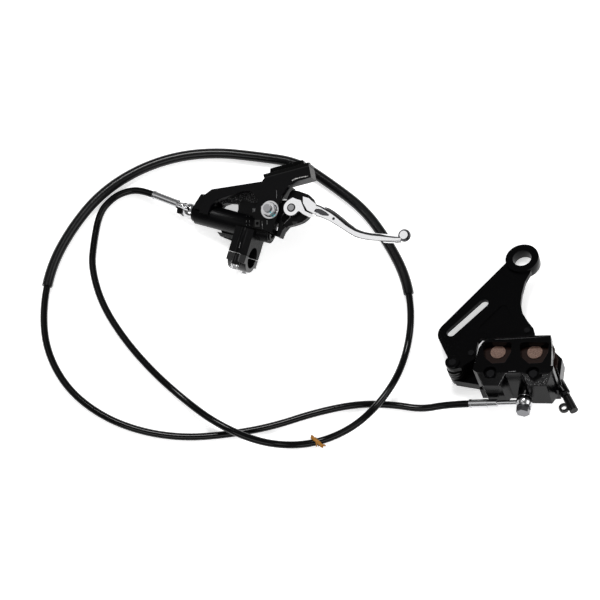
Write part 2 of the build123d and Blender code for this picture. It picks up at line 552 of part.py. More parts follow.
def caliper_body():
    claw = prism(from_rim([(-30.4, -6.0), (-28.0, 18.0), (-24.6, 25.6), (-19.7, 29.0), (11.6, 31.4), (25.6, 33.0),
                           (43.4, 33.4), (46.0, 19.2), (48.0, -6.0)]), CLAW_BACK, CLAW_FRONT)
    for x in piston_xs():
        claw -= rounded(claw_window(x), CLAW_BACK - 1, CLAW_FRONT + 1, 2.5)
        claw -= rod((x, PAD_Y, CLAW_BACK - 1), (0, 0, 1), PLUG_R + 2 * RUN, PLUG_T + 2 * RUN + 1)
    bridge = prism(from_rim([(-30.4, -2.6), (-30.4, -8.0), (-26.0, -11.0), (46.0, -11.0), (50.0, -8.0),
                             (50.0, -2.6)]), HOUSING_FRONT - 1, CLAW_FRONT)
    bridge += lobe(-11.5, 14.0) + lobe(33.3, 14.8)
    bridge += CAL_BANJO * rod((0, BANJO_T / 2 + WASHER_T, 0), (0, 1, 0), CAL_BOSS_R, 10.0)
    bridge -= rod((0, 0, -60), (0, 0, 1), DISC_R + 2.0, 60.0 + CLAW_BACK - 0.1)
    housing = prism(from_rim([(-30.4, -11.0), (-30.4, 26.0), (-22.0, 36.0), (40.0, 36.0), (50.0, 26.0),
                              (50.0, -11.0)]), HOUSING_BACK + 6, HOUSING_FRONT)
    for x in piston_xs():
        housing += rod((x, PAD_Y, HOUSING_BACK), (0, 0, 1), CAL_BORE_R + CAL_WALL, HOUSING_FRONT - HOUSING_BACK)
    ear = rod((*SLIDE_AT, EAR_BACK), (0, 0, 1), EAR_R, HOUSING_FRONT - EAR_BACK)
    ear += prism(from_rim([(-58.0, -1.0), (-58.0, 17.0), (-29.0, 24.0), (-29.0, -6.0)]), EAR_BACK, HOUSING_FRONT)
    body = claw + bridge + housing + ear
    for x in piston_xs():
        body -= rod((x, PAD_Y, HOUSING_BACK + 4.5), (0, 0, 1), CAL_BORE_R, HOUSING_FRONT - HOUSING_BACK)
    body -= rod((*SLIDE_AT, EAR_BACK - 1), (0, 0, 1), SLIDE_BORE_R, 60.0)
    body -= CAL_BANJO * rod((0, BANJO_T / 2, 0), (0, 1, 0), BANJO_BOLT_R + 0.02, 9.7)
    for x in pin_xs():
        body -= rod((x, PAD_PIN_Y, HOUSING_FRONT - 6), (0, 0, 1), PAD_PIN_R + 0.02, 70.0)
        body -= rod((x, PAD_PIN_Y, CLAW_FRONT - PIN_RECESS), (0, 0, 1), PIN_RECESS_R, 10.0)
        body -= block((x - TAB_R - TAB_ROOM, PAD_PIN_Y - TAB_R - TAB_ROOM, HOUSING_FRONT),
                      (x + TAB_R + TAB_ROOM, RIM_Y + 6.0, CLAW_BACK))
    body += rod(Vector(*BLEED_AT) - Vector(*BLEED_DIR) * 6, BLEED_DIR, 5.6, 14.0)
    body -= rod(Vector(*BLEED_AT) - Vector(*BLEED_DIR) * 8, BLEED_DIR, 2.52, 40.0)
    return body


def caliper_pistons():
    cups = []
    for x in piston_xs():
        cup = rod((x, PAD_Y, HOUSING_BACK + 5.5), (0, 0, 1), CAL_PISTON_R, INNER_PAD_BACK - HOUSING_BACK - 5.5)
        cup -= rod((x, PAD_Y, HOUSING_BACK + 9.5), (0, 0, 1), CAL_PISTON_R - 2.4, 40.0)
        cups.append(cup)
    return cups


def pad(front, grows):
    """Backplate and friction block; grows is the z direction from backplate to friction."""
    outline = from_rim([(PAD_X - 38.4, 14.0), (PAD_X - 34.0, 30.0), (PAD_X - 22.0, 36.6), (PAD_X + 22.0, 36.6),
                        (PAD_X + 34.0, 32.0), (PAD_X + 38.0, 24.0), (PAD_X + 38.0, 14.0), (PAD_X + 33.0, 1.5),
                        (PAD_X - 33.0, 1.5)])
    low, high = sorted((front, front + grows * BACKPLATE_T))
    plate = prism(outline, low, high)
    for x in pin_xs():
        tab = rod((x, PAD_PIN_Y, low), (0, 0, 1), TAB_R, BACKPLATE_T)
        tab += block((x - TAB_R, PAD_PIN_Y, low), (x + TAB_R, RIM_Y + 3.0, high))
        plate += tab
        plate -= rod((x, PAD_PIN_Y, low - 1), (0, 0, 1), PAD_PIN_R + RUN, 20.0)
    face = front + grows * BACKPLATE_T
    low, high = sorted((face, face + grows * FRICTION_T))
    lining = from_rim([(PAD_X - 31.0, 15.0), (PAD_X - 28.0, 29.0), (PAD_X - 18.0, 34.5), (PAD_X + 18.0, 34.5),
                       (PAD_X + 28.0, 30.0), (PAD_X + 31.0, 15.0), (PAD_X + 26.0, 3.5), (PAD_X - 26.0, 3.5)])
    return plate, prism(lining, low, high)


def pad_discs():
    """Round plugs that stand in the outer backplate and show in the claw's windows."""
    discs = []
    for x in piston_xs():
        discs.append(rod((x, PAD_Y, OUTER_PAD_FACE), (0, 0, 1), PLUG_R, PLUG_T))
    return Compound(children=discs)


def pad_pins():
    pins = []
    for x in pin_xs():
        low = HOUSING_FRONT - 5.8
        pin = rod((x, PAD_PIN_Y, low), (0, 0, 1), PAD_PIN_R, CLAW_FRONT - PIN_RECESS + 1.0 - low)
        pins.append(pin + rod((x, PAD_PIN_Y, CLAW_FRONT - PIN_RECESS), (0, 0, 1), PAD_PIN_R + 1.5, 2.2))
    return Compound(children=pins)


def bleed_screw():
    base = Vector(*BLEED_AT)
    along = Vector(*BLEED_DIR)
    screw = rod(base - along * 7.8, along, 2.5, 30.0)
    screw += hexagon(base + along * 8.0, along, 7.6, 4.0)
    return screw


def bleed_cap():
    base = Vector(*BLEED_AT)
    along = Vector(*BLEED_DIR)
    side = Vector(along.Y, -along.X, 0)
    cap = rod(base + along * 14.0, along, 4.3, 17.0)
    loop = base + along * 23.2 + side * 7.5
    cap += rod(loop + Vector(0, 0, -1.5), (0, 0, 1), 5.0, 3.0)
    cap -= rod(loop + Vector(0, 0, -5.0), (0, 0, 1), 2.6, 10.0)
    return cap - rod(base + along * 13.0, along, 2.6, 12.0)


# Hose route from the master's crimp mouth to the caliper's, chosen along the way the hose lies
HOSE_ROUTE = [
    (-227.09, 113.85, 12.97), (-241.4, 120.8, 9.1), (-257.4, 120.6, 5.6), (-272.1, 113.4, 4.2),
    (-285.7, 96.8, 3.8), (-290.5, 61.5, 3.8), (-291.6, 35.8, 3.8), (-279.7, -3.3, 3.8),
    (-255.3, -41.5, 3.8), (-225, -76.1, 3.8), (-191.2, -106.4, 3.8), (-156.8, -134.4, 19),
    (-114.4, -153.5, 19), (-74.4, -155, 5.4), (-39.2, -147, 5.4), (-7.2, -130.9, 19),
    (22.1, -96.9, 19), (39, -57.4, 3.8), (45.1, -15.6, 5.6), (39.3, 25.7, 5.6),
    (20.8, 64, 5.6), (-3.2, 99.8, 5.6), (-37.3, 127.5, 5.6), (-73.4, 153.4, 5.6),
    (-116.7, 160, 5.6), (-161.4, 165.1, 5.6), (-206.6, 160.2, 5.6), (-249, 143.6, 5.6),
    (-286.3, 116.3, 5.6), (-313.6, 79.2, 5.6), (-333.2, 38.7, 5.6), (-340.6, -6.6, 5.6),
    (-336, -52.1, 3.8), (-313.3, -93.5, 3.8), (-277.6, -122.5, 3.8), (-235.9, -139.5, 3.8),
    (-190.4, -146.3, 3.8), (-144.4, -142.6, 3.8), (-99.7, -134.3, 3.8), (-55.9, -119.6, 3.8),
    (-11.4, -110.4, 3.8), (24.8, -111.6, 3.8), (52.6, -117.3, 8), (78.2, -114.1, 16.9),
    (99.82, -115.63, 26.96),
]
SLEEVE_FROM = (39.3, 25.7)      # the sleeve starts in the middle of the run before this point
SLEEVE_TO = (-333.2, 38.7)      # and ends in the middle of the run after this one
TIE_AT = (-74.4, -155.0)        # the twist tie sits on the run after this point
TIE_SHARE = 0.55


def route_index(place):
    """Which point of the route stands nearest to a place on the floor."""
    return min(range(len(HOSE_ROUTE)), key=lambda i: math.dist(HOSE_ROUTE[i][:2], place))


def corner_radii(points):
    """The radius at each inner point: 0.45 of the shorter run over the tangent of half the turn."""
    radii = []
    for before, at, after in zip(points, points[1:], points[2:]):
        first, second = at - before, after - at
        turn = math.radians(first.get_angle(second))
        radii.append(0.45 * min(first.length, second.length) / math.tan(turn / 2))
    return radii


def route_path(points):
    return FilletPolyline(*points, radius=corner_radii(points))


def brake_hose():
    points = [Vector(*p) for p in HOSE_ROUTE]
    path = route_path(points)
    hose = sweep(Plane(origin=path @ 0, z_dir=path % 0) * Circle(HOSE_R), path=path)
    print("hose length", round(path.length, 1), "volume ratio",
          round(hose.volume / (math.pi * HOSE_R ** 2 * path.length), 4))
    print("corner radii", [round(r) for r in corner_radii(points)])
    return hose


def hose_sleeve():
    points = [Vector(*p) for p in HOSE_ROUTE]
    radii = corner_radii(points)
    first, last = route_index(SLEEVE_FROM), route_index(SLEEVE_TO)
    start = (points[first - 1] + points[first]) / 2
    end = (points[last] + points[last + 1]) / 2
    path = FilletPolyline(start, *points[first:last + 1], end, radius=radii[first - 1:last])
    ring = Circle(SLEEVE_R) - Circle(SLEEVE_BORE_R)
    return sweep(Plane(origin=path @ 0, z_dir=path % 0) * ring, path=path)


def twist_tie():
    before = route_index(TIE_AT)
    a, b = Vector(*HOSE_ROUTE[before]), Vector(*HOSE_ROUTE[before + 1])
    at = a + (b - a) * TIE_SHARE
    frame = Plane(origin=at, z_dir=b - a).location
    loop = frame * Torus(HOSE_R + 0.75, 0.7)
    tail = rod(at + Vector(1.2, -HOSE_R - 1.0, 1.5), (0.35, -0.9, 0.12), 0.8, 7.5)
    return loop + tail


def main():
    keep("master_body", master_body(), LEVER)
    keep("clamp_cap", clamp_cap(), LEVER)
    keep("clamp_bolts", clamp_bolts(), LEVER)
    keep("reservoir_lid", lid(), LEVER)
    keep("reservoir_diaphragm", diaphragm(), LEVER)
    keep("lid_screws", lid_screws(), LEVER)
    keep("master_piston", piston(), LEVER)
    keep("piston_cup", piston_cup(), LEVER)
    keep("return_spring", return_spring(), LEVER)
    keep("dust_boot", dust_boot(), LEVER)
    keep("pivot_bolt", pivot_bolt(), LEVER)
    keep("pivot_nut", pivot_nut(), LEVER)
    keep("lever_carrier", lever_carrier(), LEVER)
    keep("fold_pin", fold_pin(), LEVER)
    keep("lever_blade", lever_blade(), LEVER)
    keep("reach_adjuster", reach_adjuster(), LEVER)
    keep("axle_bracket", bracket(), CALIPER)
    keep("bracket_rivets", bracket_rivets(), CALIPER)
    keep("slide_pin", slide_pin(), CALIPER)
    keep("slide_boot", slide_boot(), CALIPER)
    keep("caliper_body", caliper_body(), CALIPER)
    body, end_m, way_m = master_fitting()
    keep("hose_fitting_master", body, LEVER * BANJO_FRAME)
    keep("banjo_bolt_master", banjo_bolt(6.5), LEVER * BANJO_FRAME)
    keep("crush_washers_master", crush_washers(), LEVER * BANJO_FRAME)
    body, end_c, way_c = caliper_fitting()
    keep("hose_fitting_caliper", body, CALIPER * CAL_BANJO)
    keep("banjo_bolt_caliper", banjo_bolt(7.5), CALIPER * CAL_BANJO)
    keep("crush_washers_caliper", crush_washers(), CALIPER * CAL_BANJO)
    for side, cup in zip(("left", "right"), caliper_pistons()):
        keep("caliper_piston_" + side, cup, CALIPER)
    plate, lining = pad(OUTER_PAD_FACE, -1)
    keep("outer_pad_backplate", plate, CALIPER)
    keep("outer_pad_lining", lining, CALIPER)
    plate, lining = pad(INNER_PAD_BACK, 1)
    keep("inner_pad_backplate", plate, CALIPER)
    keep("inner_pad_lining", lining, CALIPER)
    keep("pad_discs", pad_discs(), CALIPER)
    keep("pad_pins", pad_pins(), CALIPER)
    keep("bleed_screw", bleed_screw(), CALIPER)
    keep("bleed_cap", bleed_cap(), CALIPER)
    keep("brake_hose", brake_hose())
    keep("hose_sleeve", hose_sleeve())
    keep("twist_tie", twist_tie())
    for label, frame, end, way in (("master", LEVER * BANJO_FRAME, end_m, way_m),
                                   ("caliper", CALIPER * CAL_BANJO, end_c, way_c)):
        mouth = frame * Pos(*end)
        out = (frame * Pos(*(end + way))).position - mouth.position
        print("crimp mouth", label, mouth.position, out.normalized())
    for name, shape in made.items():
        box = shape.bounding_box()
        print(name, [round(v, 1) for v in (*box.min, *box.max)])


main()
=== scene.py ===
"""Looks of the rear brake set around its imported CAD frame: hose, sleeve, tie, finishes and surface detail."""
import math
import bpy
import bmesh
from mathutils import Matrix, Vector


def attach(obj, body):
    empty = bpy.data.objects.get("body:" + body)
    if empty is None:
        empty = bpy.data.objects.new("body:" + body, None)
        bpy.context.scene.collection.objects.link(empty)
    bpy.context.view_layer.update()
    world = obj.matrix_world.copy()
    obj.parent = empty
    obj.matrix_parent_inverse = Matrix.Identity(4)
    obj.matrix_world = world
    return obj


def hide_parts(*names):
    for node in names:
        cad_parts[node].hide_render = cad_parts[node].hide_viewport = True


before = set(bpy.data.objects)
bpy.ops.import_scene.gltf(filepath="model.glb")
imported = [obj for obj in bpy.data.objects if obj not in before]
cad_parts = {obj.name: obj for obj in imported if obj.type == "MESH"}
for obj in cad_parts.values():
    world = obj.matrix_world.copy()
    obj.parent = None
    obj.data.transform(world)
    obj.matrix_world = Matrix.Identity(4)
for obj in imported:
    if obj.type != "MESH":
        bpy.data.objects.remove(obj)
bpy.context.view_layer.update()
MM = 0.001

# The lever's pivot and the bar's and pivot's directions, in millimetres
PIVOT_AT = Vector((-102.6, 82.7, 53.3))
BAR_DIR = Vector((0.90622, -0.33608, 0.25656))
PIVOT_DIR = Vector((-0.31115, -0.11923, 0.94285))
UP = (0, 0, 1)


def frame_of(origin, x_dir, z_dir):
    """Matrix from a piece's own millimetres to the row frame in metres."""
    z = z_dir.normalized()
    x = (x_dir - x_dir.dot(z) * z).normalized()
    y = z.cross(x)
    turn = Matrix((x, y, z)).transposed().to_4x4()
    return Matrix.Translation(origin * MM) @ turn @ Matrix.Scale(MM, 4)


LEVER = frame_of(PIVOT_AT, BAR_DIR, PIVOT_DIR)
PLAIN = Matrix.Scale(MM, 4)


# Finishes
NOISE_DETAIL = 3
BUMP_DISTANCE = 0.0003


def finish(name, color, rough, metal=0.0, grain=0.0, grain_size=0.0005, fleck=None, specular=0.5):
    """A procedural finish: colour, roughness, cast grain as bump, and flecks of a second colour.

    fleck holds the second colour and the two noise levels between which it fades in.
    """
    mat = bpy.data.materials.new(name)
    mat.use_nodes = True
    nodes, links = mat.node_tree.nodes, mat.node_tree.links
    shader = nodes["Principled BSDF"]
    shader.inputs["Base Color"].default_value = (*color, 1)
    shader.inputs["Roughness"].default_value = rough
    shader.inputs["Metallic"].default_value = metal
    shader.inputs["Specular IOR Level"].default_value = specular
    if grain or fleck:
        place = nodes.new("ShaderNodeTexCoord")
        noise = nodes.new("ShaderNodeTexNoise")
        noise.inputs["Scale"].default_value = 1 / grain_size
        noise.inputs["Detail"].default_value = NOISE_DETAIL
        links.new(place.outputs["Object"], noise.inputs["Vector"])
    if grain:
        bump = nodes.new("ShaderNodeBump")
        bump.inputs["Strength"].default_value = grain
        bump.inputs["Distance"].default_value = BUMP_DISTANCE
        links.new(noise.outputs["Fac"], bump.inputs["Height"])
        links.new(bump.outputs["Normal"], shader.inputs["Normal"])
    if fleck:
        ramp = nodes.new("ShaderNodeValToRGB")
        ramp.color_ramp.elements[0].position = fleck[1]
        ramp.color_ramp.elements[1].position = fleck[2]
        ramp.color_ramp.elements[0].color = (*color, 1)
        ramp.color_ramp.elements[1].color = (*fleck[0], 1)
        links.new(noise.outputs["Fac"], ramp.inputs["Fac"])
        links.new(ramp.outputs["Color"], shader.inputs["Base Color"])
    return mat


CAST = finish("cast_black", (0.0022, 0.0022, 0.0025), 0.28, grain=0.4, grain_size=0.0009, specular=0.07)
GLOSS = finish("gloss_black", (0.002, 0.002, 0.0022), 0.16, grain=0.06, grain_size=0.002, specular=0.3)
POWDER = finish("powder_black", (0.001, 0.001, 0.0012), 0.2, grain=0.08, grain_size=0.001, specular=0.1)
PLASTIC = finish("satin_black_plastic", (0.002, 0.002, 0.002), 0.26, grain=0.12, grain_size=0.0015,
                 specular=0.05)
RUBBER = finish("black_rubber", (0.004, 0.004, 0.004), 0.34, grain=0.1, grain_size=0.002, specular=0.2)
HOSE = finish("hose_rubber", (0.002, 0.002, 0.0022), 0.12, grain=0.02, grain_size=0.004, specular=0.16)
SLEEVE = finish("sleeve_rubber", (0.005, 0.005, 0.0054), 0.22, grain=0.05, grain_size=0.003, specular=0.2)
BRIGHT = finish("bolt_steel", (0.72, 0.72, 0.73), 0.24, metal=1.0, grain=0.05, grain_size=0.002)
ZINC = finish("zinc_steel", (0.17, 0.17, 0.18), 0.26, metal=1.0, grain=0.04, grain_size=0.003)
DARK_STEEL = finish("black_steel", (0.008, 0.008, 0.009), 0.24, metal=0.4, grain=0.08, grain_size=0.002,
                    specular=0.25)
CRIMP = finish("fitting_steel", (0.55, 0.55, 0.56), 0.16, metal=1.0, grain=0.012, grain_size=0.004)
WASHER = finish("washer_metal", (0.55, 0.55, 0.56), 0.3, metal=1.0, grain=0.1, grain_size=0.001)
ALLOY = finish("piston_alloy", (0.6, 0.6, 0.61), 0.35, metal=1.0, grain=0.06, grain_size=0.003)
POLISHED = finish("polished_alloy", (0.72, 0.72, 0.73), 0.15, metal=1.0, grain=0.03, grain_size=0.004)
PAD_STEEL = finish("pad_steel", (0.014, 0.005, 0.003), 0.5, grain=0.3, grain_size=0.0012, specular=0.12)
FRICTION = finish("pad_friction", (0.05, 0.035, 0.028), 0.85, grain=0.8, grain_size=0.0009,
                  fleck=((0.14, 0.1, 0.08), 0.5, 0.7))
PLUG = finish("pad_plug", (0.13, 0.07, 0.05), 0.6, grain=0.7, grain_size=0.0009,
              fleck=((0.26, 0.16, 0.12), 0.4, 0.62))
# Dark alloy of painted shade: shade in the blade's recess, dimple and eye hole, and on the end ball's sides
PAINTED_SHADE_ALLOY = finish("painted_shade_alloy", (0.06, 0.06, 0.064), 0.22, metal=1.0, grain=0.03, grain_size=0.004)
# Near-black of painted dark reflection on the blade's two bevel strips, where the polished bevel mirrors a dark
# surround
BEVEL_PAINTED_REFLECTION = finish("painted_reflection_bevel", (0.008, 0.008, 0.009), 0.5, grain=0.05, grain_size=0.003,
                    specular=0.12)
PIN_GREY = finish("pin_steel", (0.3, 0.3, 0.31), 0.3, metal=1.0, grain=0.1, grain_size=0.002)
NUT_GREY = finish("nut_steel", (0.55, 0.55, 0.56), 0.28, metal=1.0, grain=0.12, grain_size=0.0015)
OCHRE = finish("ochre_tie", (0.36, 0.15, 0.012), 0.5, grain=0.1, grain_size=0.001)
CYAN = finish("paint_mark", (0.08, 0.5, 0.55), 0.5, grain=0.1, grain_size=0.001)
# Bright flecked metal of painted glints along the tank's lower edge, where its rough cast underside catches
# light
PAINTED_GLINT_EDGE = finish("painted_glint_edge", (0.1, 0.1, 0.1), 0.45, metal=0.6, grain=0.6, grain_size=0.0012,
              fleck=((0.75, 0.74, 0.73), 0.38, 0.6))
# Near-black of painted shade in the blade's slit and eye sink, the hinge boss's hole and the carrier pocket's
# floor
PAINTED_SHADE_BLACK = finish("painted_shade_recess", (0.002, 0.002, 0.002), 0.8, grain=0.1, grain_size=0.001, specular=0.1)

NODE_FINISH = {
    "master_body": CAST, "clamp_cap": GLOSS, "clamp_bolts": BRIGHT, "reservoir_lid": PLASTIC,
    "reservoir_diaphragm": RUBBER, "lid_screws": DARK_STEEL, "master_piston": ALLOY, "piston_cup": RUBBER,
    "return_spring": BRIGHT, "dust_boot": RUBBER, "pivot_bolt": PIN_GREY, "pivot_nut": NUT_GREY,
    "lever_carrier": CAST, "fold_pin": PIN_GREY, "reach_adjuster": DARK_STEEL, "axle_bracket": POWDER,
    "lever_blade": POLISHED,
    "bracket_rivets": DARK_STEEL, "slide_pin": DARK_STEEL, "slide_boot": RUBBER, "caliper_body": POWDER,
    "hose_fitting_master": CRIMP, "banjo_bolt_master": DARK_STEEL, "crush_washers_master": WASHER,
    "hose_fitting_caliper": CRIMP, "banjo_bolt_caliper": ZINC, "crush_washers_caliper": WASHER,
    "caliper_piston_left": ALLOY, "caliper_piston_right": ALLOY, "outer_pad_backplate": PAD_STEEL,
    "outer_pad_lining": FRICTION, "inner_pad_backplate": PAD_STEEL, "inner_pad_lining": FRICTION,
    "pad_discs": PLUG, "pad_pins": DARK_STEEL, "bleed_screw": DARK_STEEL, "bleed_cap": RUBBER,
}


# Edge radii of the CAD nodes, and when faces count as one or as meeting at an edge
EDGE = {
    "master_body": 0.0007, "clamp_cap": 0.0008, "reservoir_lid": 0.0005,
    "axle_bracket": 0.0005, "caliper_body": 0.0009, "lever_carrier": 0.0005,
}
WELD_DISTANCE = 0.000002
ONE_FACE_ANGLE = math.radians(0.4)
CAD_EDGE_ANGLE = math.radians(32)


def bevelled(obj, width, angle):
    """Rounds the edges that are sharper than an angle."""
    bevel = obj.modifiers.new("edges", "BEVEL")
    bevel.width = width
    bevel.segments = 2
    bevel.limit_method = "ANGLE"
    bevel.angle_limit = angle
    bevel.use_clamp_overlap = True


def soften(obj, width):
    """Rounds a CAD node's sharp edges for the look only."""
    weld = obj.modifiers.new("weld", "WELD")
    weld.merge_threshold = WELD_DISTANCE
    merge = obj.modifiers.new("merge", "DECIMATE")
    merge.decimate_type = "DISSOLVE"
    merge.angle_limit = ONE_FACE_ANGLE
    bevelled(obj, width, CAD_EDGE_ANGLE)


for name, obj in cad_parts.items():
    if name in NODE_FINISH:
        obj.data.materials.clear()
        obj.data.materials.append(NODE_FINISH[name])
    if name in EDGE:
        soften(obj, EDGE[name])


# Mesh helpers
SHARP_ANGLE = math.radians(30)
SAME_POINT = 0.001


def shade(mesh, angle):
    """Smooth shading with sharp edges above an angle."""
    for face in mesh.polygons:
        face.use_smooth = True
    mesh.set_sharp_from_angle(angle=angle)


def add_mesh(name, build, finish_, body, into=PLAIN):
    """A mesh piece in a millimetre frame, with one finish, riding on a body."""
    bm = bmesh.new()
    build(bm)
    bmesh.ops.remove_doubles(bm, verts=bm.verts, dist=SAME_POINT)
    bmesh.ops.recalc_face_normals(bm, faces=bm.faces)
    bm.transform(into)
    mesh = bpy.data.meshes.new(name)
    bm.to_mesh(mesh)
    bm.free()
    shade(mesh, SHARP_ANGLE)
    mesh.materials.append(finish_)
    obj = bpy.data.objects.new(name, mesh)
    bpy.context.scene.collection.objects.link(obj)
    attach(obj, body)
    return obj


def skin(bm, rings):
    """Faces between each ring and the next one."""
    count = len(rings[0])
    for lower, upper in zip(rings, rings[1:]):
        for i in range(count):
            j = (i + 1) % count
            bm.faces.new((lower[i], lower[j], upper[j], upper[i]))


def closed_skin(bm, rings):
    """A skin with a face over its first and last ring."""
    skin(bm, rings)
    bm.faces.new(list(reversed(rings[0])))
    bm.faces.new(rings[-1])


def circle(bm, middle, side, other, radius, count):
    """A ring of points round a middle, in the plane of two directions."""
    angles = [2 * math.pi * k / count for k in range(count)]
    return [bm.verts.new(middle + (side * math.cos(t) + other * math.sin(t)) * radius) for t in angles]


def prism(bm, outline, low, high):
    """Pulls an outline between two heights."""
    closed_skin(bm, [[bm.verts.new((x, y, z)) for x, y in outline] for z in (low, high)])


SHARPEST_CORNER = 0.4


def inset(outline, by):
    """The outline moved inwards by a distance, held back where a corner is very sharp."""
    after = outline[1:] + outline[:1]
    area = sum(p[0] * q[1] - q[0] * p[1] for p, q in zip(outline, after))
    sign = 1 if area > 0 else -1
    moved = []
    for i, (p, q) in enumerate(zip(outline, after)):
        a, b, c = Vector(outline[i - 1]), Vector(p), Vector(q)
        u, v = (b - a).normalized(), (c - b).normalized()
        normal = (Vector((-u.y, u.x)) + Vector((-v.y, v.x))) * sign
        scale = by / max(SHARPEST_CORNER, normal.length ** 2 / 2)
        moved.append(tuple(b + normal * scale))
    return moved


def chamfered(bm, outline, low, high, by):
    """A prism whose upper edge is chamfered."""
    levels = ((outline, low), (outline, high - by), (inset(outline, by), high))
    closed_skin(bm, [[bm.verts.new((x, y, z)) for x, y in line] for line, z in levels])


def turned(bm, start, axis, profile, count):
    """A turned solid: profile is (distance along the axis, radius) from end to end."""
    axis = Vector(axis).normalized()
    side = axis.orthogonal().normalized()
    other = axis.cross(side)
    start = Vector(start)
    closed_skin(bm, [circle(bm, start + axis * along, side, other, radius, count)
                     for along, radius in profile])


def tube_along(bm, points, radius, count, closed_ends=True):
    """A tube through points; gives back its rings."""
    points = [Vector(p) for p in points]
    tangent = (points[1] - points[0]).normalized()
    side = tangent.orthogonal().normalized()
    rings = []
    for i, at in enumerate(points):
        ahead = points[min(i + 1, len(points) - 1)] - points[max(i - 1, 0)]
        tangent = ahead.normalized()
        side = (side - side.dot(tangent) * tangent).normalized()
        rings.append(circle(bm, at, side, tangent.cross(side), radius, count))
    close = closed_skin if closed_ends else skin
    close(bm, rings)
    return rings


# Hose, sleeve and tie
HOSE_R = 3.7
SLEEVE_R = 5.5
SLEEVE_BORE_R = 4.0
SLEEVE_SIDES = 24
SLEEVE_FIRST = 19
SLEEVE_LAST = 30
TIE_AFTER = 13
TIE_SHARE = 0.55
CURVE_STEPS = 12
CURVE_ROUNDING = 6
HOSE_ROUTE = [
    (-227.09, 113.85, 12.97), (-241.4, 120.8, 9.1), (-257.4, 120.6, 5.6), (-272.1, 113.4, 4.2),
    (-285.7, 96.8, 3.8), (-290.5, 61.5, 3.8), (-291.6, 35.8, 3.8), (-279.7, -3.3, 3.8),
    (-255.3, -41.5, 3.8), (-225, -76.1, 3.8), (-191.2, -106.4, 3.8), (-156.8, -134.4, 19),
    (-114.4, -153.5, 19), (-74.4, -155, 5.4), (-39.2, -147, 5.4), (-7.2, -130.9, 19),
    (22.1, -96.9, 19), (39, -57.4, 3.8), (45.1, -15.6, 5.6), (39.3, 25.7, 5.6),
    (20.8, 64, 5.6), (-3.2, 99.8, 5.6), (-37.3, 127.5, 5.6), (-73.4, 153.4, 5.6),
    (-116.7, 160, 5.6), (-161.4, 165.1, 5.6), (-206.6, 160.2, 5.6), (-249, 143.6, 5.6),
    (-286.3, 116.3, 5.6), (-313.6, 79.2, 5.6), (-333.2, 38.7, 5.6), (-340.6, -6.6, 5.6),
    (-336, -52.1, 3.8), (-313.3, -93.5, 3.8), (-277.6, -122.5, 3.8), (-235.9, -139.5, 3.8),
    (-190.4, -146.3, 3.8), (-144.4, -142.6, 3.8), (-99.7, -134.3, 3.8), (-55.9, -119.6, 3.8),
    (-11.4, -110.4, 3.8), (24.8, -111.6, 3.8), (52.6, -117.3, 8), (78.2, -114.1, 16.9),
    (99.82, -115.63, 26.96),
]


def nurbs(name, points, bevel):
    """A smooth round curve led by points, in metres."""
    curve = bpy.data.curves.new(name, "CURVE")
    curve.dimensions = "3D"
    curve.bevel_depth = bevel
    curve.bevel_resolution = CURVE_ROUNDING
    curve.resolution_u = CURVE_STEPS
    curve.use_fill_caps = True
    spline = curve.splines.new("NURBS")
    spline.points.add(len(points) - 1)
    for point, at in zip(spline.points, points):
        point.co = (*at, 1)
    spline.order_u = 3
    spline.use_endpoint_u = True
    obj = bpy.data.objects.new(name, curve)
    bpy.context.scene.collection.objects.link(obj)
    return obj


route = [Vector(p) * MM for p in HOSE_ROUTE]
hose = nurbs("hose", route, HOSE_R * MM)
hose.data.materials.append(HOSE)
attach(hose, "root")
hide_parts("brake_hose")

bare = nurbs("hose_line", route, 0.0)
bare_mesh = bpy.data.meshes.new_from_object(bare)
line = [v.co / MM for v in bare_mesh.vertices]
bpy.data.objects.remove(bare)
bpy.data.meshes.remove(bare_mesh)


def nearest(at):
    """Where the hose's line comes closest to a point."""
    return min(range(len(line)), key=lambda i: (line[i] - at).length)


def mid(i):
    """Halfway between a route point and the next."""
    return (Vector(HOSE_ROUTE[i]) + Vector(HOSE_ROUTE[i + 1])) / 2


first, last = nearest(mid(SLEEVE_FIRST - 1)), nearest(mid(SLEEVE_LAST))


def build_sleeve(bm):
    """A second tube over part of the hose, open at both ends."""
    path = line[first:last + 1]
    outer = tube_along(bm, path, SLEEVE_R, SLEEVE_SIDES, closed_ends=False)
    inner = tube_along(bm, path, SLEEVE_BORE_R, SLEEVE_SIDES, closed_ends=False)
    skin(bm, (outer[0], inner[0]))
    skin(bm, (outer[-1], inner[-1]))


sleeve = add_mesh("sleeve", build_sleeve, SLEEVE, "root")
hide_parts("hose_sleeve")

before_tie, after_tie = Vector(HOSE_ROUTE[TIE_AFTER]), Vector(HOSE_ROUTE[TIE_AFTER + 1])
tie_at = line[nearest(before_tie + (after_tie - before_tie) * TIE_SHARE)]
tie_way = (after_tie - before_tie).normalized()
tie_side = Vector((tie_way.y, -tie_way.x, 0)).normalized()

# Each strand: its phase in the winding, where it starts and ends along the bundle, and how its end splays
TIE_STRANDS = [
    (0.0, -1.0, 0.95, 0.5), (1.6, -0.9, 1.0, -0.5), (3.1, -0.85, 1.1, 0.2), (4.7, -0.8, 1.2, -1.0),
    (5.6, -1.0, 0.8, 1.2),
]
TIE_LAY = Vector((15.5, -13.0, 0)).normalized()
TIE_HALF = 8.0
TIE_LOOP_R = 0.7
TIE_LOOP_STEPS = 32
TIE_LOOP_PITCH = 2.4
STRAND_R = 0.95
STRAND_STEPS = 28
STRAND_LIFT = 1.1
STRAND_SAG = 1.25
STRAND_WIND = 4.2
STRAND_SPREAD_FROM = 0.55
STRAND_SPREAD = 2.2
STRAND_RISE = 0.7
WIRE_SIDES = 8


def tie_loop_point(share):
    """A point of the one turn round the hose, at a share of it."""
    up = Vector(UP)
    t = 2 * math.pi * share
    around = (tie_side * math.cos(t) + up * math.sin(t)) * (HOSE_R + TIE_LOOP_R)
    return tie_at + around + tie_way * (share - 0.5) * TIE_LOOP_PITCH


